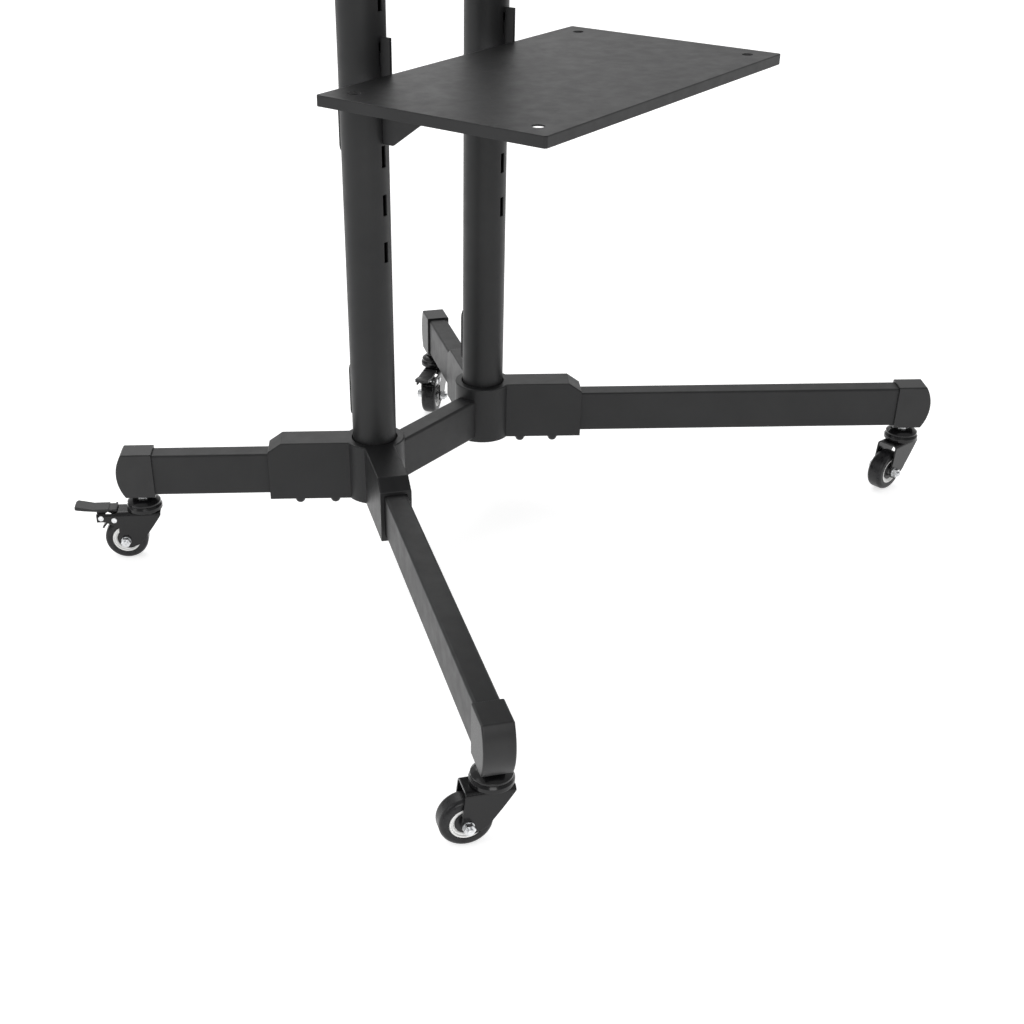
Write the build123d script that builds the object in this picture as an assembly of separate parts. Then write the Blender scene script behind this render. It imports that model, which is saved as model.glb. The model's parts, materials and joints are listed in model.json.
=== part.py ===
"""Mobile lectern podium, built as separate pieces.

Two round slotted columns stand in cast hubs that are joined by a crossbar. Each hub has a long front
leg and a short rear leg, splayed outwards, and each leg stands on a swivel caster. The rear casters
have a brake. A sheet-steel shelf hangs from the column slots on two hooked brackets, and a reading
desk tilts on two clamped pivots at the column tops.

Modelling frame: X runs along the crossbar (left column at -X), the front legs and the shelf point
to -Y, Z is up from the floor. The last step moves all pieces so that the origin is at the bottom
centre of the whole stand's box.
"""

from build123d import *
import math
import os

# ---------------------------------------------------------------- driving dimensions, millimetres
SIDES = {"left": -1, "right": 1}
ENDS = {"front": -1, "rear": 1}

COLUMN_SPACING = 210
COLUMN_R = 25
COLUMN_WALL = 2
COLUMN_BOTTOM = 86
COLUMN_TOP = 1040

TUBE_W, TUBE_H, TUBE_WALL, TUBE_CORNER = 25, 50, 1.8, 3
TUBE_TOP = 134
LEG_SPLAY = {"front": 39.2, "rear": 39.5}  # degrees between a leg and the front-back line
LEG_REACH = {"front": 568.5, "rear": 301}  # column axis to the rounded end of the leg's cap
SLIP = 0.15  # gap all round where one piece slides into another

HUB_R = 34.5
HUB_MOUTH_R, HUB_MOUTH_DEPTH = 26.4, 5  # wider mouth of the sleeve round the column
HUB_BOTTOM, HUB_TOP = 79, 149.3
SOCKET_W, SOCKET_REACH, SOCKET_ROOT = 35, 123.5, 40
SOCKET_SLOPE = (16, 11)  # sloped outer top corner: length along the leg, drop
LEG_BOLT_REACH = (48.5, 90)  # column axis to each leg bolt
BOLT_R, BOLT_FLATS, BOLT_HEX_H, BOLT_DOME_R, BOLT_DOME_H = 4, 13, 6, 5.6, 5.2
BOLT_FLANGE_R, BOLT_FLANGE_H = 8, 1.5
WELD_NUT_R, WELD_NUT_H = 7.5, 6

CAP_WALL, CAP_LENGTH, CAP_BULGE = 2.5, 43, 8.5
STEM_SETBACK = 26.5  # cap's rounded end back to the caster stem
STEM_R, STEM_TOP = 5, 102
STEM_NUT_FLATS, STEM_NUT_H = 16, 4.4

SLOT_W, SLOT_H, SLOT_PITCH, SLOT_FIRST, SLOT_COUNT = 6, 22, 50, 370, 8
PORT_W, PORT_H, PORT_HEIGHTS = 14, 54, (203, 500)
COVER_W, COVER_H, COVER_PROUD = 20, 66, 3.5

SHELF_HALF_W, SHELF_BACK, SHELF_FRONT = 218, -38, -301
SHELF_TOP, SHELF_SKIRT, SHEET = 552.5, 10.5, 1.5
SHELF_HOLE_R, SHELF_HOLE_INSET = 6, 26
BRACKET_T = 3
BRACKET_BACK, BRACKET_TIP = -25.6, -270
BRACKET_BOTTOM, BRACKET_TOP = 483, 586
BRACKET_FOOT = 13  # level stretch at the bottom, before the sloped edge
BRACKET_SLOPE = 35  # degrees
FLANGE_W = 20
HOOKED_SLOTS = (3, 4)  # counted up from the lowest slot
HOOK_NECK_H, HOOK_DROP, HOOK_REACH = 13, 7, 7.4
SHELF_STUDS_Y = (-70, -240)
SHELF_STUD_LENGTH = 8.5

HEAD_FLANGE_H, HEAD_PLUG_H = 6, 40
LUG_T, LUG_R = 8, 16
PIVOT_Z, PIVOT_R, PIVOT_GAP = 1072, 4, 0.08
DESK_W, DESK_FRONT, DESK_BACK = 500, -235, 145  # along the desk, from the pivot line
DESK_LIFT = 38  # pivot to the desk's underside, square to the desk
DESK_SKIRT, DESK_LIP, DESK_SHEET = 16, 24, 2
DESK_SLOPE = 20  # degrees at rest, high edge at the back
CHEEK_T, CHEEK_GAP, CHEEK_HALF, DESK_FLANGE_T = 4, 0.4, 60, 3
STUDS_Y = (-48, 48)
STUD_R, STUD_LENGTH, STUD_NUT_FLATS, STUD_NUT_H = 2, 10, 7, 3.2
KNOB_R, KNOB_T, KNOB_LOBES, KNOB_COLLAR = 19, 16, 6, 2
PIVOT_HEAD_FLATS, PIVOT_HEAD_H = 13, 5.5

WHEEL_R, TYRE_W, TYRE_BORE_R, TYRE_ROUND = 25.2, 20, 16.5, 5
TYRE_FIT = 0.1  # gap between a tyre and its core
TRAIL = 24.8  # swivel axis to wheel axle
CORE_W, CORE_WEB_R, HUB_BORE_R = 17, 11.8, 3.1
GUARD_R, GUARD_T = 11.2, 1.6
AXLE_R, AXLE_NUT_FLATS, AXLE_NUT_H, AXLE_TIP = 3, 10, 5, 2.6
WASHER_R, WASHER_H = 5.8, 1
FORK_GAP, FORK_T, FORK_SHOULDER, FORK_NOSE = 24, 2, 5, -19
FORK_TOP, CUP_TOP, CUP_R = 62, 69.5, 20.8
DOME_R, DOME_TOP = 19.4, 76.8
BOSS_DROP, BOSS_BACK = 8, 6.5  # from the axle to a fork side's lower end and to its trailing edge
FORK_LEAD = ((-9.5, 44), (2, 28.5), (7.5, 21.5), (15, 17.8))  # points down a fork side's leading edge
FORK_TAIL = ((29.5, 40), (27, 62))  # points up its trailing edge
RIVET_R, RIVET_HEAD_R, RIVET_HEAD_H = 1.6, 3.2, 1.4
PEDAL_PIVOT = (50.5, 56.5)  # distance behind the swivel axis, height
SHOE_PIVOT = (35.5, 53.5)
TAIL_EDGE = 5.5  # pedal pivot to the end and to the lower edge of a braked fork's tail
PEDAL_HALF = 9.5
# Outline of the pedal's pad, in the caster's own frame: its underside, then its top from the tip inwards
PEDAL_PAD = (
    (41.5, 62.4), (55, 62.6), (70, 64), (81, 65.6), (81, 68.2), (78, 69.4), (71, 68), (60, 65.6), (41.5, 65.6),
)
PEDAL_NECK = 33.5  # inner end of the plate ahead of the pad
PEDAL_LIFT = 0.5  # underside of that plate above the fork's top
TOP_CUT = 32.5  # a braked fork has no top plate beyond this distance from the swivel axis
SHOE_GAP = 3.7  # brake shoe to tyre when released

# Direction in which each wheel trails, in degrees from +X, and whether the caster has a brake
CASTERS = {
    "front_left": (142, False),
    "front_right": (168.5, False),
    "rear_left": (131.5, True),
    "rear_right": (203.5, True),
}

# ---------------------------------------------------------------- derived places
COLUMN_X = COLUMN_SPACING / 2
TUBE_BOTTOM = TUBE_TOP - TUBE_H
TUBE_MID = TUBE_TOP - TUBE_H / 2
CAP_BOTTOM = TUBE_BOTTOM - CAP_WALL
SLOT_Z = [SLOT_FIRST + SLOT_PITCH * i for i in range(SLOT_COUNT)]


def leg_angle(side, end):
    """Direction of a leg in the XY plane, in degrees from +X."""
    splay = math.radians(LEG_SPLAY[end])
    return math.degrees(math.atan2(ENDS[end] * math.cos(splay), SIDES[side] * math.sin(splay)))


def at_leg(side, end):
    """Place of a leg's own frame: origin on the column axis at floor level, +X along the leg."""
    return Location((SIDES[side] * COLUMN_X, 0, 0), (0, 0, leg_angle(side, end)))


def at_column(side):
    return Location((SIDES[side] * COLUMN_X, 0, 0))


def stem_point(side, end):
    """Floor point under a caster's stem."""
    reach = LEG_REACH[end] - STEM_SETBACK
    angle = math.radians(leg_angle(side, end))
    return (SIDES[side] * COLUMN_X + reach * math.cos(angle), reach * math.sin(angle))


def at_caster(name):
    """Place of a caster's own frame: origin on the swivel axis at floor level, +X where it trails."""
    end, side = name.split("_")
    x, y = stem_point(side, end)
    return Location((x, y, 0), (0, 0, CASTERS[name][0]))


# ---------------------------------------------------------------- small shapes
def rod(radius, low, high, x=0, y=0):
    """Upright cylinder between two heights."""
    return Pos(x, y, (low + high) / 2) * Cylinder(radius, high - low)


def cross_rod(radius, x, z, low, high):
    """Cylinder along Y between two Y values."""
    return Pos(x, (low + high) / 2, z) * Rot(90, 0, 0) * Cylinder(radius, high - low)


def bar(x0, x1, y0, y1, z0, z1):
    """Box between limits on each axis."""
    middle = ((x0 + x1) / 2, (y0 + y1) / 2, (z0 + z1) / 2)
    return Pos(*middle) * Box(x1 - x0, y1 - y0, z1 - z0)


def slab_xz(outline, half_y):
    """Prism of an outline of (x, z) points, from -half_y to +half_y."""
    face = make_face(Polyline(*[(x, 0, z) for x, z in outline], close=True))
    return extrude(face, amount=half_y, dir=(0, 1, 0), both=True)


def slab_yz(outline, half_x):
    """Prism of an outline of (y, z) points, from -half_x to +half_x."""
    face = make_face(Polyline(*[(0, y, z) for y, z in outline], close=True))
    return extrude(face, amount=half_x, dir=(1, 0, 0), both=True)


def turned(outline):
    """Ring turned about Z from an outline of (radius, z) points."""
    return revolve(make_face(Polyline(*[(r, 0, z) for r, z in outline], close=True)), Axis.Z)


def hex_nut(flats, low, high, bore):
    nut = extrude(RegularPolygon(flats / 2, 6, major_radius=False), high - low)
    return Pos(0, 0, low) * nut - rod(bore, low - 1, high + 1)


def box_tube(length, width=TUBE_W, height=TUBE_H):
    """Rectangular tube along +X, centred on the X axis."""
    outer = RectangleRounded(width, height, TUBE_CORNER)
    inner = RectangleRounded(width - 2 * TUBE_WALL, height - 2 * TUBE_WALL, TUBE_CORNER - TUBE_WALL)
    return extrude(Plane.YZ * (outer - inner), length)


# ---------------------------------------------------------------- base
def hub(side):
    """Cast hub: a sleeve for the column and two sockets for the legs."""
    slope_run, slope_drop = SOCKET_SLOPE
    outline = [
        (0, HUB_BOTTOM),
        (SOCKET_REACH, HUB_BOTTOM),
        (SOCKET_REACH, HUB_TOP - slope_drop),
        (SOCKET_REACH - slope_run, HUB_TOP),
        (0, HUB_TOP),
    ]
    body = rod(HUB_R, HUB_BOTTOM, HUB_TOP)
    for end in ENDS:
        body += Rot(0, 0, leg_angle(side, end)) * slab_xz(outline, SOCKET_W / 2)
    body = fillet(body.edges().filter_by(lambda e: e.center().Z > HUB_TOP - slope_drop - 1), 1.5)
    body -= rod(COLUMN_R + SLIP, COLUMN_BOTTOM, HUB_TOP + 1)
    body -= rod(HUB_MOUTH_R, HUB_TOP - HUB_MOUTH_DEPTH, HUB_TOP + 1)
    body -= rod(BOLT_R + SLIP, HUB_BOTTOM - 1, COLUMN_BOTTOM + 1)
    half_w, half_h = TUBE_W / 2 + SLIP, TUBE_H / 2 + SLIP
    for end in ENDS:
        turn = Rot(0, 0, leg_angle(side, end))
        pocket = bar(SOCKET_ROOT, SOCKET_REACH + 1, -half_w, half_w, TUBE_MID - half_h, TUBE_MID + half_h)
        body -= turn * pocket
        for reach in LEG_BOLT_REACH:
            body -= turn * rod(BOLT_R + SLIP, HUB_BOTTOM - 1, TUBE_BOTTOM + 1, reach)
    return at_column(side) * body


def crossbar():
    """Tube between the hubs, with ends coped to their sleeves."""
    tube = Pos(-COLUMN_X, 0, TUBE_MID) * box_tube(COLUMN_SPACING)
    for side in SIDES:
        tube -= at_column(side) * rod(HUB_R + SLIP / 3, 0, HUB_TOP)
    return tube


def leg(side, end):
    start, length = SOCKET_ROOT + 1, LEG_REACH[end] - CAP_BULGE - CAP_WALL - SOCKET_ROOT - 1
    tube = Pos(start, 0, TUBE_MID) * box_tube(length)
    for reach in LEG_BOLT_REACH:
        tube -= rod(BOLT_R + SLIP, TUBE_BOTTOM - 1, TUBE_BOTTOM + TUBE_WALL + 1, reach)
    tube -= rod(STEM_R + SLIP, TUBE_BOTTOM - 1, TUBE_BOTTOM + TUBE_WALL + 1, LEG_REACH[end] - STEM_SETBACK)
    return at_leg(side, end) * tube


def leg_cap(side, end):
    """Moulded cap over the leg's end, with a bowed outer face and a hole for the caster stem."""
    reach = LEG_REACH[end]
    low, high = CAP_BOTTOM, TUBE_TOP + CAP_WALL
    inner, outer = reach - CAP_LENGTH, reach - CAP_BULGE
    edge = Polyline((outer, 0, low), (inner, 0, low), (inner, 0, high), (outer, 0, high))
    bow = ThreePointArc((outer, 0, high), (reach, 0, TUBE_MID), (outer, 0, low))
    body = extrude(make_face(edge + bow), amount=TUBE_W / 2 + CAP_WALL, dir=(0, 1, 0), both=True)
    body = fillet(body.edges().filter_by(lambda e: e.center().X > inner + 1), 1.8)
    half_w, half_h = TUBE_W / 2 + SLIP, TUBE_H / 2 + SLIP
    body -= bar(inner - 1, outer - CAP_WALL + SLIP, -half_w, half_w, TUBE_MID - half_h, TUBE_MID + half_h)
    body -= rod(STEM_R + SLIP, low - 1, TUBE_BOTTOM + 1, reach - STEM_SETBACK)
    return at_leg(side, end) * body


def dome_bolt(low, high):
    """Flanged hex bolt with a domed end under a height, and its shank going up to another."""
    hex_top = low - BOLT_FLANGE_H
    hex_low = hex_top - BOLT_HEX_H
    dome = rod(BOLT_DOME_R, hex_low - BOLT_DOME_H, hex_low)
    dome = fillet(dome.edges().sort_by(Axis.Z)[:1], BOLT_DOME_H * 0.9)
    hexagon = extrude(RegularPolygon(BOLT_FLATS / 2, 6, major_radius=False), BOLT_HEX_H)
    flange = rod(BOLT_FLANGE_R, hex_top, low)
    return dome + Pos(0, 0, hex_low) * hexagon + flange + rod(BOLT_R, low, high)


def leg_bolts():
    top = TUBE_BOTTOM + TUBE_WALL + WELD_NUT_H
    return [
        at_leg(side, end) * Pos(reach, 0, 0) * dome_bolt(HUB_BOTTOM, top)
        for side in SIDES
        for end in ENDS
        for reach in LEG_BOLT_REACH
    ]


def weld_nut(low, bore):
    blank = rod(WELD_NUT_R + bore - BOLT_R, low, low + WELD_NUT_H)
    return blank - rod(bore + 0.05, low - 1, low + WELD_NUT_H + 1)


def leg_weld_nuts():
    """Nuts inside the leg tubes: two for the leg bolts and one for the caster stem of each leg."""
    floor = TUBE_BOTTOM + TUBE_WALL
    nuts = []
    for side in SIDES:
        for end in ENDS:
            places = [(reach, BOLT_R) for reach in LEG_BOLT_REACH]
            places.append((LEG_REACH[end] - STEM_SETBACK, STEM_R))
            nuts += [at_leg(side, end) * Pos(reach, 0, 0) * weld_nut(floor, bore) for reach, bore in places]
    return nuts


# ---------------------------------------------------------------- columns
def oblong(width, height):
    """Upright oblong outline with round ends, in the XZ plane."""
    return Plane.XZ * Rot(0, 0, 90) * SlotOverall(height, width)


def column(side):
    tube = rod(COLUMN_R, COLUMN_BOTTOM, COLUMN_TOP) - rod(COLUMN_R - COLUMN_WALL, 0, COLUMN_TOP + 1)
    for z in SLOT_Z:
        tube -= bar(-SLOT_W / 2, SLOT_W / 2, -COLUMN_R - 1, 0, z - SLOT_H / 2, z + SLOT_H / 2)
    for z in PORT_HEIGHTS:
        tube -= Pos(0, 0, z) * extrude(oblong(PORT_W, PORT_H), -COLUMN_R - 1)
    return at_column(side) * tube


def column_feet():
    """Discs welded into the column ends, threaded for the column bolts."""
    disc = rod(COLUMN_R - COLUMN_WALL, COLUMN_BOTTOM, COLUMN_BOTTOM + 8)
    disc -= rod(BOLT_R + 0.05, COLUMN_BOTTOM - 1, COLUMN_BOTTOM + 9)
    return [at_column(side) * disc for side in SIDES]


def column_bolts():
    return [at_column(side) * dome_bolt(HUB_BOTTOM, COLUMN_BOTTOM + 8) for side in SIDES]


def cable_port_cover():
    """Push-in oblong cover at the back of a column, curved to sit on the tube."""
    rim = extrude(oblong(COVER_W, COVER_H), -COLUMN_R - COVER_PROUD)
    rim &= rod(COLUMN_R + COVER_PROUD, -COVER_H, COVER_H) - rod(COLUMN_R + 0.05, -COVER_H, COVER_H)
    plug = extrude(oblong(PORT_W - 2 * SLIP, PORT_H - 2 * SLIP), -COLUMN_R - 1)
    plug -= rod(COLUMN_R - COLUMN_WALL - 2, -COVER_H, COVER_H)
    return rim + plug


def cable_port_covers():
    cover = cable_port_cover()
    return [at_column(side) * Pos(0, 0, z) * cover for side in SIDES for z in PORT_HEIGHTS]


def column_head(side):
    """Plug in the column top, with a flange over the tube's end and a lug for the desk pivot."""
    flange_top = COLUMN_TOP + HEAD_FLANGE_H
    body = rod(COLUMN_R - COLUMN_WALL - 0.05, COLUMN_TOP - HEAD_PLUG_H, COLUMN_TOP)
    body += fillet(rod(COLUMN_R, COLUMN_TOP, flange_top).edges().sort_by(Axis.Z)[-1:], 2)
    lug = bar(-LUG_T / 2, LUG_T / 2, -LUG_R, LUG_R, flange_top - 1, PIVOT_Z)
    lug += Pos(0, 0, PIVOT_Z) * Rot(0, 90, 0) * Cylinder(LUG_R, LUG_T)
    body += lug
    body -= Pos(0, 0, PIVOT_Z) * Rot(0, 90, 0) * Cylinder(PIVOT_R + PIVOT_GAP, LUG_T + 2)
    return at_column(side) * body


# ---------------------------------------------------------------- shelf
def shelf_tray():
    """Sheet-steel shelf: edges folded down, a strap hole near each corner, studs welded below."""
    low = SHELF_TOP - SHELF_SKIRT
    tray = bar(-SHELF_HALF_W, SHELF_HALF_W, SHELF_FRONT, SHELF_BACK, low, SHELF_TOP)
    tray = fillet(tray.edges().filter_by(Axis.Z), 3)
    tray = fillet(tray.faces().sort_by(Axis.Z)[-1].edges(), 1)
    inner = SHELF_HALF_W - SHEET
    tray -= bar(-inner, inner, SHELF_FRONT + SHEET, SHELF_BACK - SHEET, low - 1, SHELF_TOP - SHEET)
    for x in (-COLUMN_X, COLUMN_X):
        slit = BRACKET_T / 2 + 0.5
        tray -= bar(x - slit, x + slit, SHELF_BACK - SHEET - 1, SHELF_BACK + 1, low - 1, SHELF_TOP - SHEET)
    for x in (-SHELF_HALF_W + SHELF_HOLE_INSET, SHELF_HALF_W - SHELF_HOLE_INSET):
        for y in (SHELF_FRONT + SHELF_HOLE_INSET, SHELF_BACK - SHELF_HOLE_INSET):
            tray -= rod(SHELF_HOLE_R, low, SHELF_TOP + 1, x, y)
    under = SHELF_TOP - SHEET
    for x, y in shelf_stud_places():
        tray += rod(STUD_R, under - SHELF_STUD_LENGTH, under + SHEET / 2, x, y)
    return tray


def shelf_stud_places():
    """Studs over the bracket flanges, which point to the middle of the stand."""
    x = COLUMN_X - FLANGE_W / 2
    return [(s * x, y) for s in SIDES.values() for y in SHELF_STUDS_Y]


def shelf_bracket(side):
    """Flat web with hooks into the column slots and a top flange for the shelf studs."""
    under = SHELF_TOP - SHEET
    arm_low = SHELF_TOP - SHELF_SKIRT + 1
    foot = BRACKET_BACK - BRACKET_FOOT
    slope_end = foot - (arm_low - BRACKET_BOTTOM) / math.tan(math.radians(BRACKET_SLOPE))
    outline = [
        (BRACKET_BACK, BRACKET_BOTTOM),
        (foot, BRACKET_BOTTOM),
        (slope_end, arm_low),
        (BRACKET_TIP, arm_low),
        (BRACKET_TIP, under),
        (SHELF_BACK + 0.5, under),
        (SHELF_BACK + 0.5, BRACKET_TOP),
        (BRACKET_BACK, BRACKET_TOP),
    ]
    web = slab_yz(outline, BRACKET_T / 2)
    for index in HOOKED_SLOTS:
        neck_low = SLOT_Z[index] - SLOT_H / 2
        neck_high = neck_low + HOOK_NECK_H
        inside = -COLUMN_R + COLUMN_WALL + 0.6
        hook = [
            (BRACKET_BACK - 1, neck_low),
            (inside, neck_low),
            (inside, neck_low - HOOK_DROP),
            (BRACKET_BACK + HOOK_REACH, neck_low - HOOK_DROP),
            (BRACKET_BACK + HOOK_REACH, neck_high),
            (BRACKET_BACK - 1, neck_high),
        ]
        web += slab_yz(hook, BRACKET_T / 2)
    inward = -SIDES[side]
    near, far = sorted((0, inward * (FLANGE_W - 2)))
    web += bar(near, far, BRACKET_TIP, SHELF_BACK - 8, under - BRACKET_T, under)
    for y in SHELF_STUDS_Y:
        web -= rod(STUD_R + SLIP, under - BRACKET_T - 1, under + 1, inward * FLANGE_W / 2, y)
    return at_column(side) * web


def shelf_stud_nuts():
    top = SHELF_TOP - SHEET - BRACKET_T
    nut = hex_nut(STUD_NUT_FLATS, top - STUD_NUT_H, top, STUD_R + 0.05)
    return [Pos(x, y, 0) * nut for x, y in shelf_stud_places()]


# ---------------------------------------------------------------- reading desk
def at_desk():
    """The desk's own frame: origin on the pivot line, Z square to the desk."""
    return Location((0, 0, PIVOT_Z), (DESK_SLOPE, 0, 0))


def desk_panel():
    """Sheet-steel desk: edges folded down, a lip turned up at the lower, front edge, studs welded below."""
    half = DESK_W / 2
    under = DESK_LIFT
    top = under + DESK_SHEET
    low = top - DESK_SKIRT
    tray = bar(-half, half, DESK_FRONT, DESK_BACK, low, top)
    tray = fillet(tray.edges().filter_by(Axis.Z), 4)
    inner = half - DESK_SHEET
    tray -= bar(-inner, inner, DESK_FRONT + DESK_SHEET, DESK_BACK - DESK_SHEET, low - 1, under)
    lip = bar(-half + 14, half - 14, DESK_FRONT, DESK_FRONT + DESK_SHEET, top - DESK_SHEET, top + DESK_LIP)
    tray += fillet(lip.edges().filter_by(Axis.Y).group_by(Axis.Z)[-1], 8)
    for x, y in stud_places():
        tray += rod(STUD_R, under - STUD_LENGTH, under + DESK_SHEET / 2, x, y)
    return at_desk() * tray


def cheek_x():
    """Middle of a desk bracket's cheek plate, measured from the stand's middle."""
    return COLUMN_X + LUG_T / 2 + CHEEK_GAP + CHEEK_T / 2


def stud_places():
    return [(s * (cheek_x() + FLANGE_W / 2), y) for s in SIDES.values() for y in STUDS_Y]


def desk_bracket(side):
    """Cheek plate beside the column head's lug, with a flange screwed under the desk."""
    outline = [
        (-LUG_R, 0),
        (LUG_R, 0),
        (CHEEK_HALF, DESK_LIFT),
        (-CHEEK_HALF, DESK_LIFT),
    ]
    plate = slab_yz(outline, CHEEK_T / 2)
    plate += Rot(0, 90, 0) * Cylinder(LUG_R, CHEEK_T)
    outward = SIDES[side]
    near, far = sorted((0, outward * FLANGE_W))
    plate += bar(near, far, -CHEEK_HALF, CHEEK_HALF, DESK_LIFT - DESK_FLANGE_T, DESK_LIFT)
    plate -= Rot(0, 90, 0) * Cylinder(PIVOT_R + PIVOT_GAP, CHEEK_T + 2)
    for y in STUDS_Y:
        plate -= rod(STUD_R + SLIP, DESK_LIFT - 4, DESK_LIFT + 1, outward * FLANGE_W / 2, y)
    return at_desk() * Pos(outward * cheek_x(), 0, 0) * plate


def desk_stud_nuts():
    top = DESK_LIFT - DESK_FLANGE_T
    nut = hex_nut(STUD_NUT_FLATS, top - STUD_NUT_H, top, STUD_R + 0.05)
    return [at_desk() * Pos(x, y, 0) * nut for x, y in stud_places()]


def pivot_bolts():
    """Bolts through the lugs and the cheeks, head inside and thread reaching out into the knobs."""
    inner = COLUMN_X - LUG_T / 2
    bolt = rod(PIVOT_R, inner - 1, knob_face() + KNOB_T * 0.75)
    bolt += Pos(0, 0, inner - PIVOT_HEAD_H) * extrude(
        RegularPolygon(PIVOT_HEAD_FLATS / 2, 6, major_radius=False), PIVOT_HEAD_H
    )
    return [Pos(0, 0, PIVOT_Z) * Rot(0, s * 90, 0) * bolt for s in SIDES.values()]


def knob_face():
    """Inner end of a tilt knob, measured from the stand's middle."""
    return cheek_x() + CHEEK_T / 2 + CHEEK_GAP


def tilt_knob(side):
    """Lobed clamping knob with a short collar, threaded on the pivot bolt."""
    grip = Cylinder(KNOB_R, KNOB_T)
    for i in range(KNOB_LOBES):
        angle = math.radians(360 / KNOB_LOBES * i)
        middle = (KNOB_R * 1.18 * math.cos(angle), KNOB_R * 1.18 * math.sin(angle), 0)
        grip -= Pos(*middle) * Cylinder(KNOB_R * 0.36, KNOB_T + 2)
    grip = fillet(grip.edges().group_by(Axis.Z)[-1], 2)
    grip += Pos(0, 0, -KNOB_T / 2 - KNOB_COLLAR / 2) * Cylinder(KNOB_R * 0.55, KNOB_COLLAR)
    grip = Pos(0, 0, knob_face() + KNOB_COLLAR + KNOB_T / 2) * grip
    grip -= rod(PIVOT_R + PIVOT_GAP, knob_face() - 1, knob_face() + KNOB_T * 0.75 + PIVOT_GAP)
    return Pos(0, 0, PIVOT_Z) * Rot(0, SIDES[side] * 90, 0) * grip


# ---------------------------------------------------------------- casters, each in its own frame
def caster_stem():
    return rod(STEM_R - 0.05, CUP_TOP - 6, STEM_TOP)


def caster_stem_nut():
    return hex_nut(STEM_NUT_FLATS, CAP_BOTTOM - STEM_NUT_H, CAP_BOTTOM, STEM_R)


def caster_dome():
    """Domed upper race, fixed to the stem."""
    base = CUP_TOP + 0.4
    shoulder = base + 2.2
    bore = STEM_R
    crown = in_xz(DOME_R * 0.42, DOME_TOP)
    arc = ThreePointArc(in_xz(DOME_R, shoulder), in_xz(DOME_R * 0.82, DOME_TOP - 1.8), crown)
    rest = Polyline(crown, in_xz(bore, DOME_TOP), in_xz(bore, base), in_xz(DOME_R, base), in_xz(DOME_R, shoulder))
    return revolve(make_face(arc + rest), Axis.Z)


def fork_side(braked):
    """Side face of the fork: slanting leading edge, rounded end below the axle, upright trailing edge."""
    bow, low_front, turn, bottom = FORK_LEAD
    boss_end = (TRAIL + BOSS_BACK, WHEEL_R + 2)
    tail = [boss_end, *FORK_TAIL]
    if braked:
        pivot_x, pivot_z = PEDAL_PIVOT
        low, end = pivot_z - TAIL_EDGE, pivot_x + TAIL_EDGE
        tail = [boss_end, (boss_end[0], low - 8), (pivot_x - 4, low), (end, low), (end, FORK_TOP)]
    under = (TRAIL + BOSS_BACK * 0.4, WHEEL_R - BOSS_DROP * 0.9)
    edges = [
        ThreePointArc(in_xz(FORK_NOSE, FORK_TOP - 4), in_xz(*bow), in_xz(*low_front)),
        ThreePointArc(in_xz(*low_front), in_xz(*turn), in_xz(*bottom)),
        ThreePointArc(in_xz(*bottom), in_xz(*under), in_xz(*boss_end)),
        Polyline(*[in_xz(x, z) for x, z in tail], in_xz(FORK_NOSE, FORK_TOP), in_xz(FORK_NOSE, FORK_TOP - 4)),
    ]
    return make_face(Wire(Curve() + edges))


def in_xz(x, z):
    return (x, 0, z)


def caster_fork(braked):
    """Pressed steel fork: rounded top, two side plates and the raised cup that holds the ball race."""
    half_out, half_in = FORK_GAP / 2 + FORK_T, FORK_GAP / 2
    tail_x = PEDAL_PIVOT[0] + TAIL_EDGE if braked else TRAIL + BOSS_BACK
    blank = extrude(fork_side(braked), amount=half_out, dir=(0, 1, 0), both=True)
    shoulders = blank.edges().filter_by(Axis.X).group_by(Axis.Z)[-1]
    blank = fillet(shoulders, FORK_SHOULDER)
    hollow = bar(-40, tail_x + 1, -half_in, half_in, 0, FORK_TOP - FORK_T)
    blank -= fillet(hollow.edges().filter_by(Axis.X).group_by(Axis.Z)[-1], FORK_SHOULDER - FORK_T)
    if braked:
        blank -= bar(TOP_CUT, tail_x + 1, -half_in, half_in, 0, FORK_TOP + 1)
    flank_low, flank_high = FORK_TOP + 1, CUP_TOP - 2.5
    cup = [
        (STEM_R + 0.4, FORK_TOP - FORK_T),
        (CUP_R - 6, FORK_TOP - FORK_T),
        (CUP_R, flank_low),
        (CUP_R, flank_high),
        (CUP_R - 1.5, CUP_TOP),
        (STEM_R + 0.4, CUP_TOP),
    ]
    body = blank + turned(cup)
    body -= rod(STEM_R + 0.4, 0, CUP_TOP + 1)
    body -= cross_rod(AXLE_R + 0.1, TRAIL, WHEEL_R, -half_out - 1, half_out + 1)
    if braked:
        for x, z in (PEDAL_PIVOT, SHOE_PIVOT):
            body -= cross_rod(RIVET_R, x, z, -half_out - 1, half_out + 1)
    return body


def caster_axle():
    """Axle bolt: head on one side, nut and thread end on the other, a washer and a spacer at each."""
    half_out, half_in = FORK_GAP / 2 + FORK_T, FORK_GAP / 2
    seat = half_out + WASHER_H
    bolt = cross_rod(AXLE_R, 0, 0, -seat, seat + AXLE_NUT_H + AXLE_TIP)
    ends = Rot(90, 0, 0) * extrude(RegularPolygon(AXLE_NUT_FLATS / 2, 6, major_radius=False), AXLE_NUT_H)
    for low in (-seat - AXLE_NUT_H, seat):
        bolt += Pos(0, low + AXLE_NUT_H, 0) * ends
    for low in (-seat, half_out):
        bolt += cross_rod(WASHER_R, 0, 0, low, low + WASHER_H)
    for low in (-half_in, CORE_W / 2 + 0.3):
        bolt += cross_rod(AXLE_R + 1.6, 0, 0, low, low + half_in - CORE_W / 2 - 0.3)
    return Pos(TRAIL, 0, WHEEL_R) * bolt


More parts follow.
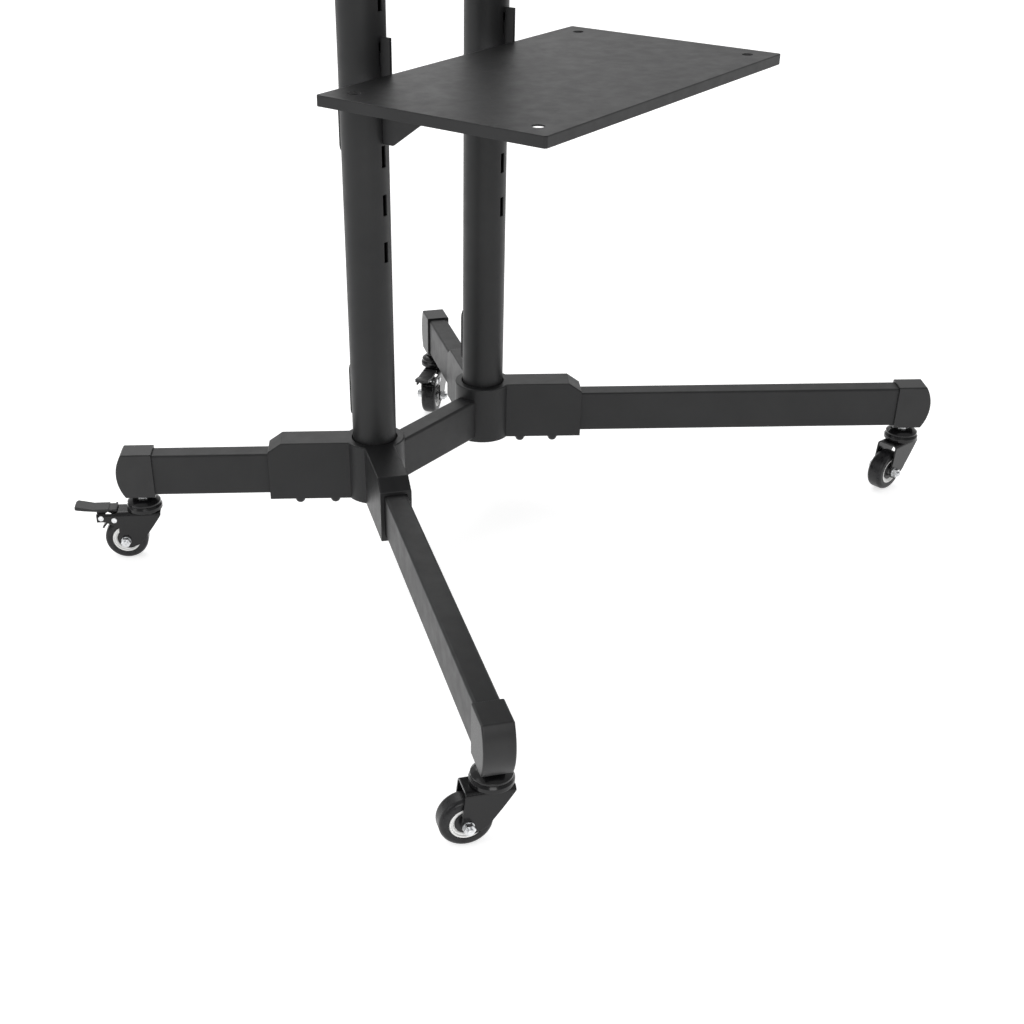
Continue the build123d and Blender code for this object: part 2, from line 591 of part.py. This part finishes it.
def about_axle(outline):
    """Ring turned about the wheel axle from (radius, y) points."""
    face = make_face(Polyline(*[(r, y, 0) for r, y in outline], close=True))
    return Pos(TRAIL, 0, WHEEL_R) * revolve(face, Axis.Y)


def tyre():
    half = TYRE_W / 2
    ring = Rot(90, 0, 0) * (Cylinder(WHEEL_R, TYRE_W) - Cylinder(TYRE_BORE_R + TYRE_FIT, TYRE_W + 2))
    rims = ring.edges().filter_by(lambda e: e.geom_type == GeomType.CIRCLE and e.radius > WHEEL_R - 1)
    ring = fillet(rims.filter_by(lambda e: abs(abs(e.center().Y) - half) < 1), TYRE_ROUND)
    return Pos(TRAIL, 0, WHEEL_R) * ring


def wheel_core():
    """Moulded core with a stepped ring on each face and a thinner web inside it."""
    rim, web, bead = CORE_W / 2 + 1, CORE_W / 2 - 1.5, CORE_W / 2 - 0.4
    face = [
        (TYRE_BORE_R, rim - 0.6),
        (TYRE_BORE_R - 0.6, rim),
        (TYRE_BORE_R - 2, rim),
        (TYRE_BORE_R - 2.4, bead),
        (CORE_WEB_R + 0.8, bead),
        (CORE_WEB_R, web),
        (HUB_BORE_R, web),
    ]
    return about_axle(face + [(r, -y) for r, y in reversed(face)])


def thread_guards():
    """Round covers over the bearings, one in each face of the core."""
    web = CORE_W / 2 - 1.5
    bore, face = AXLE_R + 2.2, web + GUARD_T
    outline = [(bore, web), (GUARD_R, web), (GUARD_R, face - 0.6), (GUARD_R - 0.8, face), (bore, face)]
    return [about_axle(outline), about_axle([(r, -y) for r, y in outline])]


def brake_rivets():
    """Two rivets through the fork: the pivots of the brake pedal and of the brake shoe."""
    half_out = FORK_GAP / 2 + FORK_T
    rivets = []
    for x, z in (PEDAL_PIVOT, SHOE_PIVOT):
        rivet = cross_rod(RIVET_R - 0.02, x, z, -half_out, half_out)
        for low in (-half_out - RIVET_HEAD_H, half_out):
            rivet += cross_rod(RIVET_HEAD_R, x, z, low, low + RIVET_HEAD_H)
        rivets.append(rivet)
    return rivets


def brake_pedal():
    """Foot pedal: a plate over the fork's tail with a thicker pad at its end and two cheeks on its pivot."""
    pivot_x, pivot_z = PEDAL_PIVOT
    low = FORK_TOP + PEDAL_LIFT
    pad = slab_xz(PEDAL_PAD, PEDAL_HALF)
    tip = pad.edges().filter_by(Axis.Z).group_by(Axis.X)[-1]
    pad = fillet(tip, 2.5)
    neck = bar(PEDAL_NECK, PEDAL_PAD[0][0] + 1, -PEDAL_HALF + 1, PEDAL_HALF - 1, low, low + 2.2)
    rib = bar(PEDAL_NECK - 1.2, PEDAL_NECK + 1, -PEDAL_HALF, PEDAL_HALF, low, low + 3)
    body = neck + rib + pad
    for y in (-PEDAL_HALF, PEDAL_HALF - 1.6):
        cheek = cross_rod(5, pivot_x, pivot_z, y, y + 1.6)
        cheek += bar(pivot_x - 5, pivot_x + 5, y, y + 1.6, pivot_z, low + 2)
        body += cheek
    return body - cross_rod(RIVET_R + 0.05, pivot_x, pivot_z, -20, 20)


def brake_shoe():
    """Shoe on its own pivot: a blade that follows the tyre and a tongue towards the swivel race."""
    pivot_x, pivot_z = SHOE_PIVOT
    inner_r, outer_r = WHEEL_R + SHOE_GAP, WHEEL_R + SHOE_GAP + 2.2
    arc = [math.radians(a) for a in range(30, 67, 6)]
    blade = [(TRAIL + outer_r * math.cos(a), WHEEL_R + outer_r * math.sin(a)) for a in arc]
    blade += [(TRAIL + inner_r * math.cos(a), WHEEL_R + inner_r * math.sin(a)) for a in reversed(arc)]
    body = slab_xz(blade, 7.5)
    body += cross_rod(3.6, pivot_x, pivot_z, -7.5, 7.5)
    tongue_z = FORK_TOP - FORK_T - 2.8
    body += bar(pivot_x - 5, pivot_x + 2, -6, 6, tongue_z, tongue_z + 1.8)
    body += bar(pivot_x - 1.5, pivot_x + 2, -6, 6, pivot_z, tongue_z + 1)
    return body - cross_rod(RIVET_R + 0.05, pivot_x, pivot_z, -20, 20)


# ---------------------------------------------------------------- assembly
def base_nodes():
    nodes = {"crossbar": crossbar(), "leg_bolts": leg_bolts(), "leg_weld_nuts": leg_weld_nuts()}
    for side in SIDES:
        nodes[f"hub_{side}"] = hub(side)
        for end in ENDS:
            nodes[f"leg_{end}_{side}"] = leg(side, end)
            nodes[f"leg_cap_{end}_{side}"] = leg_cap(side, end)
    return nodes


def upper_nodes():
    nodes = {
        "column_feet": column_feet(),
        "column_bolts": column_bolts(),
        "cable_port_covers": cable_port_covers(),
        "shelf_tray": shelf_tray(),
        "shelf_stud_nuts": shelf_stud_nuts(),
        "desk_panel": desk_panel(),
        "desk_stud_nuts": desk_stud_nuts(),
        "pivot_bolts": pivot_bolts(),
    }
    for side in SIDES:
        nodes[f"column_{side}"] = column(side)
        nodes[f"column_head_{side}"] = column_head(side)
        nodes[f"shelf_bracket_{side}"] = shelf_bracket(side)
        nodes[f"desk_bracket_{side}"] = desk_bracket(side)
        nodes[f"tilt_knob_{side}"] = tilt_knob(side)
    return nodes


def caster_nodes():
    nodes = {"caster_stems": [], "caster_stem_nuts": [], "caster_domes": []}
    for name, (_, braked) in CASTERS.items():
        place = at_caster(name)
        nodes["caster_stems"].append(place * caster_stem())
        nodes["caster_stem_nuts"].append(place * caster_stem_nut())
        nodes["caster_domes"].append(place * caster_dome())
        nodes[f"fork_{name}"] = place * caster_fork(braked)
        nodes[f"axle_{name}"] = place * caster_axle()
        nodes[f"tyre_{name}"] = place * tyre()
        nodes[f"wheel_core_{name}"] = place * wheel_core()
        nodes[f"thread_guards_{name}"] = [place * guard for guard in thread_guards()]
        if braked:
            nodes[f"brake_pedal_{name}"] = place * brake_pedal()
            nodes[f"brake_shoe_{name}"] = place * brake_shoe()
            nodes[f"brake_rivets_{name}"] = [place * rivet for rivet in brake_rivets()]
    return nodes


def as_shape(made):
    """One shape for a node, which may be a list of separate solids."""
    return Compound(made) if isinstance(made, list) else made


NODES = {name: as_shape(made) for name, made in {**base_nodes(), **upper_nodes(), **caster_nodes()}.items()}
WHOLE = Compound(list(NODES.values())).bounding_box()
TO_ORIGIN = Pos(-WHOLE.center().X, -WHOLE.center().Y, -WHOLE.min.Z)

os.makedirs("parts", exist_ok=True)
for node_name, shape in NODES.items():
    export_step(TO_ORIGIN * shape, f"parts/{node_name}.step")
print(len(NODES), "nodes, moved by", TO_ORIGIN.position, "size", WHOLE.size)
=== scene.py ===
"""Looks for the mobile lectern podium: materials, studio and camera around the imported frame."""

import json
import math

import bpy
from mathutils import Matrix, Vector

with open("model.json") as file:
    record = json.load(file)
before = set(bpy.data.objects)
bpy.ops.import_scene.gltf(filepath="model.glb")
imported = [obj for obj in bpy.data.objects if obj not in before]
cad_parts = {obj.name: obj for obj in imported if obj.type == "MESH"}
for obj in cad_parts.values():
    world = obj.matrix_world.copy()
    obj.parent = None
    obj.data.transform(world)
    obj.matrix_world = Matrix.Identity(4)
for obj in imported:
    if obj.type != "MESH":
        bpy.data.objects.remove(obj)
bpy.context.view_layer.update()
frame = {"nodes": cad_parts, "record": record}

# ---------------------------------------------------------------- driving values
# Metres and degrees, unless a comment says otherwise.
EYE = (-1.2556, -0.9182, 0.8584)
EYE_AZIMUTH, EYE_ELEVATION, EYE_ROLL = -52.22, 32.71, -0.2
LENS, SENSOR_WIDTH = 50.76, 36  # millimetres
LENS_SHIFT = (0.0628, 0.1201)
VIEW_DEPTH = 60

FLOOR_HALF, FLOOR_GLOW = 12.0, 0.6  # half its side, and its emission strength
ROOM_DIM, ROOM_BRIGHT = 0.3, 0.7  # strengths of the white room, away from and towards its bright side
ROOM_BRIGHT_SIDE = (0.62, 0.5, 0.6)
# name, place, point it faces, width and height, watts
PANELS = [
    ("key", (1.6, 2.2, 3.0), (0, 0, 0.3), (2.6, 2.6), 34),
    ("side", (-2.8, 1.6, 2.2), (0, 0, 0.3), (2.0, 2.0), 18),
    ("front", (-2.4, -2.2, 1.5), (0, 0, 0.1), (1.6, 1.2), 24),
]

METAL_EDGE, PLASTIC_EDGE = 0.0011, 0.0008  # radius of the softened edges


# ---------------------------------------------------------------- node helpers
def new_material(name):
    """Material with its shader, and the tree to add nodes to."""
    material = bpy.data.materials.new(name)
    material.use_nodes = True
    tree = material.node_tree
    return material, tree, tree.nodes["Principled BSDF"]


def add(tree, kind, inputs=(), **settings):
    """Node with its settings, and its inputs set to values or linked to sockets."""
    node = tree.nodes.new(kind)
    for key, value in settings.items():
        setattr(node, key, value)
    for key, value in dict(inputs).items():
        if isinstance(value, bpy.types.NodeSocket):
            tree.links.new(value, node.inputs[key])
        else:
            node.inputs[key].default_value = value
    return node


def object_place(tree):
    """Position in metres, fixed to the piece."""
    return add(tree, "ShaderNodeTexCoord").outputs["Object"]


def noise(tree, place, per_metre, detail=2.0, roughness=0.5):
    inputs = {"Vector": place, "Scale": per_metre, "Detail": detail, "Roughness": roughness}
    return add(tree, "ShaderNodeTexNoise", inputs).outputs["Fac"]


def remap(tree, value, low, high, to_low, to_high):
    inputs = {"Value": value, "From Min": low, "From Max": high, "To Min": to_low, "To Max": to_high}
    return add(tree, "ShaderNodeMapRange", inputs).outputs["Result"]


def blend_colours(tree, factor, dark, light):
    """Colour between dark and light; the node's colour sockets are inputs 6 and 7 and output 2."""
    inputs = {"Factor": factor, 6: (*dark, 1), 7: (*light, 1)}
    return add(tree, "ShaderNodeMix", inputs, data_type="RGBA").outputs[2]


def bump(tree, height, strength, depth, normal=None):
    inputs = {"Height": height, "Strength": strength, "Distance": depth}
    if normal is not None:
        inputs["Normal"] = normal
    return add(tree, "ShaderNodeBump", inputs).outputs["Normal"]


def worn_edges(tree, radius):
    """Shading normal that rounds the sharp edges a little, so that they catch the light."""
    return add(tree, "ShaderNodeBevel", {"Radius": radius}, samples=6).outputs["Normal"]


def link(tree, output, shader, name):
    tree.links.new(output, shader.inputs[name])


# ---------------------------------------------------------------- materials
def coated_metal(name, dark, light, roughness, grain=1400, depth=0.00006, coat=0.0, shine=0.3):
    """Powder-coated metal: fine orange peel, faint cloudiness and slightly uneven gloss."""
    material, tree, shader = new_material(name)
    place = object_place(tree)
    clouds = noise(tree, place, 14, 3)
    peel = noise(tree, place, grain, 1.5)
    link(tree, blend_colours(tree, remap(tree, clouds, 0.3, 0.7, 0, 1), dark, light), shader, "Base Color")
    smudge = noise(tree, place, 55, 4, 0.6)
    link(tree, remap(tree, smudge, 0.3, 0.7, roughness - 0.04, roughness + 0.05), shader, "Roughness")
    link(tree, bump(tree, peel, 0.35, depth, worn_edges(tree, METAL_EDGE)), shader, "Normal")
    shader.inputs["Specular IOR Level"].default_value = shine
    shader.inputs["Coat Weight"].default_value = coat
    shader.inputs["Coat Roughness"].default_value = 0.12
    return material


def plastic(name, dark, light, roughness, grain=900, depth=0.00004, coat=0.0):
    """Moulded plastic: one grain makes both the small bumps and the uneven gloss."""
    material, tree, shader = new_material(name)
    place = object_place(tree)
    clouds = noise(tree, place, 35, 2)
    grain_height = noise(tree, place, grain, 3, 0.65)
    link(tree, blend_colours(tree, remap(tree, clouds, 0.3, 0.7, 0, 1), dark, light), shader, "Base Color")
    link(tree, remap(tree, grain_height, 0.3, 0.7, roughness - 0.05, roughness + 0.06), shader, "Roughness")
    link(tree, bump(tree, grain_height, 0.3, depth, worn_edges(tree, PLASTIC_EDGE)), shader, "Normal")
    shader.inputs["Specular IOR Level"].default_value = 0.35
    shader.inputs["Coat Weight"].default_value = coat
    shader.inputs["Coat Roughness"].default_value = 0.15
    return material


def zinc_plate(name):
    """Bright zinc with a fine grain and small dull patches."""
    material, tree, shader = new_material(name)
    place = object_place(tree)
    patches = noise(tree, place, 260, 4, 0.6)
    grain = noise(tree, place, 2600, 2)
    share = remap(tree, patches, 0.35, 0.65, 0, 1)
    colour = blend_colours(tree, share, (0.52, 0.53, 0.54), (0.82, 0.83, 0.84))
    link(tree, colour, shader, "Base Color")
    link(tree, remap(tree, patches, 0.3, 0.7, 0.2, 0.42), shader, "Roughness")
    link(tree, bump(tree, grain, 0.3, 0.00003), shader, "Normal")
    shader.inputs["Metallic"].default_value = 1.0
    return material


def tyre_rubber(name):
    """Smooth black polyurethane with a fine grain and a little scuffing."""
    material, tree, shader = new_material(name)
    place = object_place(tree)
    scuffs = noise(tree, place, 180, 5, 0.7)
    grain = noise(tree, place, 1500, 2)
    share = remap(tree, scuffs, 0.42, 0.72, 0, 1)
    colour = blend_colours(tree, share, (0.009, 0.009, 0.01), (0.022, 0.022, 0.023))
    link(tree, colour, shader, "Base Color")
    link(tree, remap(tree, scuffs, 0.35, 0.75, 0.24, 0.46), shader, "Roughness")
    link(tree, bump(tree, grain, 0.25, 0.00003), shader, "Normal")
    shader.inputs["Specular IOR Level"].default_value = 0.3
    return material


# Dark and light shade and roughness; then, where they differ from the usual, the grain per metre,
# its depth, the coat and, for metal, the specular level.
MATERIALS = {
    "frame_coat": coated_metal("frame_coat", (0.014, 0.0142, 0.0148), (0.019, 0.0192, 0.0198), 0.44),
    "hub_coat": coated_metal(
        "hub_coat", (0.013, 0.0132, 0.0138), (0.018, 0.0182, 0.0188), 0.4, 1100, 0.00008
    ),
    "black_bolt": coated_metal("black_bolt", (0.014, 0.014, 0.015), (0.02, 0.02, 0.021), 0.35, 2200, 0.00003),
    "caster_black": coated_metal(
        "caster_black", (0.005, 0.005, 0.0055), (0.008, 0.008, 0.0085), 0.2, 700, 0.00003, 0.2, 0.25
    ),
    "cap_plastic": plastic("cap_plastic", (0.015, 0.015, 0.0155), (0.02, 0.02, 0.0205), 0.36),
    "cover_plastic": plastic("cover_plastic", (0.014, 0.014, 0.015), (0.02, 0.02, 0.021), 0.4),
    "guard_black": plastic("guard_black", (0.01, 0.01, 0.011), (0.016, 0.016, 0.017), 0.3),
    "pedal_plastic": plastic("pedal_plastic", (0.012, 0.012, 0.013), (0.02, 0.02, 0.021), 0.36, 700, 0.00006),
    "knob_plastic": plastic("knob_plastic", (0.012, 0.012, 0.013), (0.02, 0.02, 0.021), 0.45, 600, 0.00008),
    "core_white": plastic("core_white", (0.88, 0.88, 0.87), (0.93, 0.93, 0.92), 0.28, 500, 0.00002, 0.2),
    "tyre_rubber": tyre_rubber("tyre_rubber"),
    "zinc": zinc_plate("zinc"),
}


def finish_frame_nodes():
    """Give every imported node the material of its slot."""
    for part in frame["record"]["subparts"]:
        node = frame["nodes"][part["node"]]
        for slot in node.material_slots:
            slot.link = "DATA"
            slot.material = MATERIALS[part["material_slot"]]


finish_frame_nodes()


# ---------------------------------------------------------------- studio
def floor():
    """Pale floor that runs far past the stand."""
    half = FLOOR_HALF
    mesh = bpy.data.meshes.new("floor")
    corners = [(-half, -half, 0), (half, -half, 0), (half, half, 0), (-half, half, 0)]
    mesh.from_pydata(corners, [], [(0, 1, 2, 3)])
    obj = bpy.data.objects.new("floor", mesh)
    bpy.context.scene.collection.objects.link(obj)
    material, tree, shader = new_material("floor_paint")
    tone = noise(tree, object_place(tree), 3, 3)
    colour = blend_colours(tree, tone, (0.86, 0.86, 0.86), (0.88, 0.88, 0.88))
    link(tree, colour, shader, "Base Color")
    shader.inputs["Roughness"].default_value = 0.9
    shader.inputs["Specular IOR Level"].default_value = 0.1
    shader.inputs["Emission Color"].default_value = (1, 1, 1, 1)
    shader.inputs["Emission Strength"].default_value = FLOOR_GLOW
    mesh.materials.append(material)


def panel_light(name, place, target, size, watts):
    data = bpy.data.lights.new(name, "AREA")
    data.shape = "RECTANGLE"
    data.size, data.size_y = size
    data.energy = watts
    lamp = bpy.data.objects.new(name, data)
    lamp.location = place
    lamp.rotation_euler = (Vector(target) - Vector(place)).to_track_quat("-Z", "Y").to_euler()
    bpy.context.scene.collection.objects.link(lamp)


def surroundings(dim, bright, towards):
    """White room that is brighter on one side."""
    world = bpy.data.worlds.new("studio_white")
    world.use_nodes = True
    tree = world.node_tree
    direction = add(tree, "ShaderNodeTexCoord").outputs["Generated"]
    side = add(tree, "ShaderNodeVectorMath", operation="DOT_PRODUCT")
    tree.links.new(direction, side.inputs[0])
    side.inputs[1].default_value = Vector(towards).normalized()
    background = tree.nodes["Background"]
    background.inputs["Color"].default_value = (1, 1, 1, 1)
    tree.links.new(remap(tree, side.outputs["Value"], -0.6, 0.9, dim, bright), background.inputs["Strength"])
    bpy.context.scene.world = world


def camera():
    """Three-quarter view from the left front, looking down at the stand's foot."""
    azimuth, elevation, roll = (math.radians(a) for a in (EYE_AZIMUTH, EYE_ELEVATION, EYE_ROLL))
    data = bpy.data.cameras.new("camera")
    data.sensor_width = SENSOR_WIDTH
    data.lens = LENS
    data.shift_x, data.shift_y = LENS_SHIFT
    data.clip_end = VIEW_DEPTH
    eye = bpy.data.objects.new("camera", data)
    turn = Matrix.Rotation(azimuth, 4, "Z") @ Matrix.Rotation(math.pi / 2 - elevation, 4, "X")
    eye.matrix_world = Matrix.Translation(EYE) @ turn @ Matrix.Rotation(roll, 4, "Z")
    bpy.context.scene.collection.objects.link(eye)
    bpy.context.scene.camera = eye


bpy.context.scene.view_settings.view_transform = "Standard"
floor()
surroundings(ROOM_DIM, ROOM_BRIGHT, ROOM_BRIGHT_SIDE)
for name, place, target, size, watts in PANELS:
    panel_light(name, place, target, size, watts)
camera()
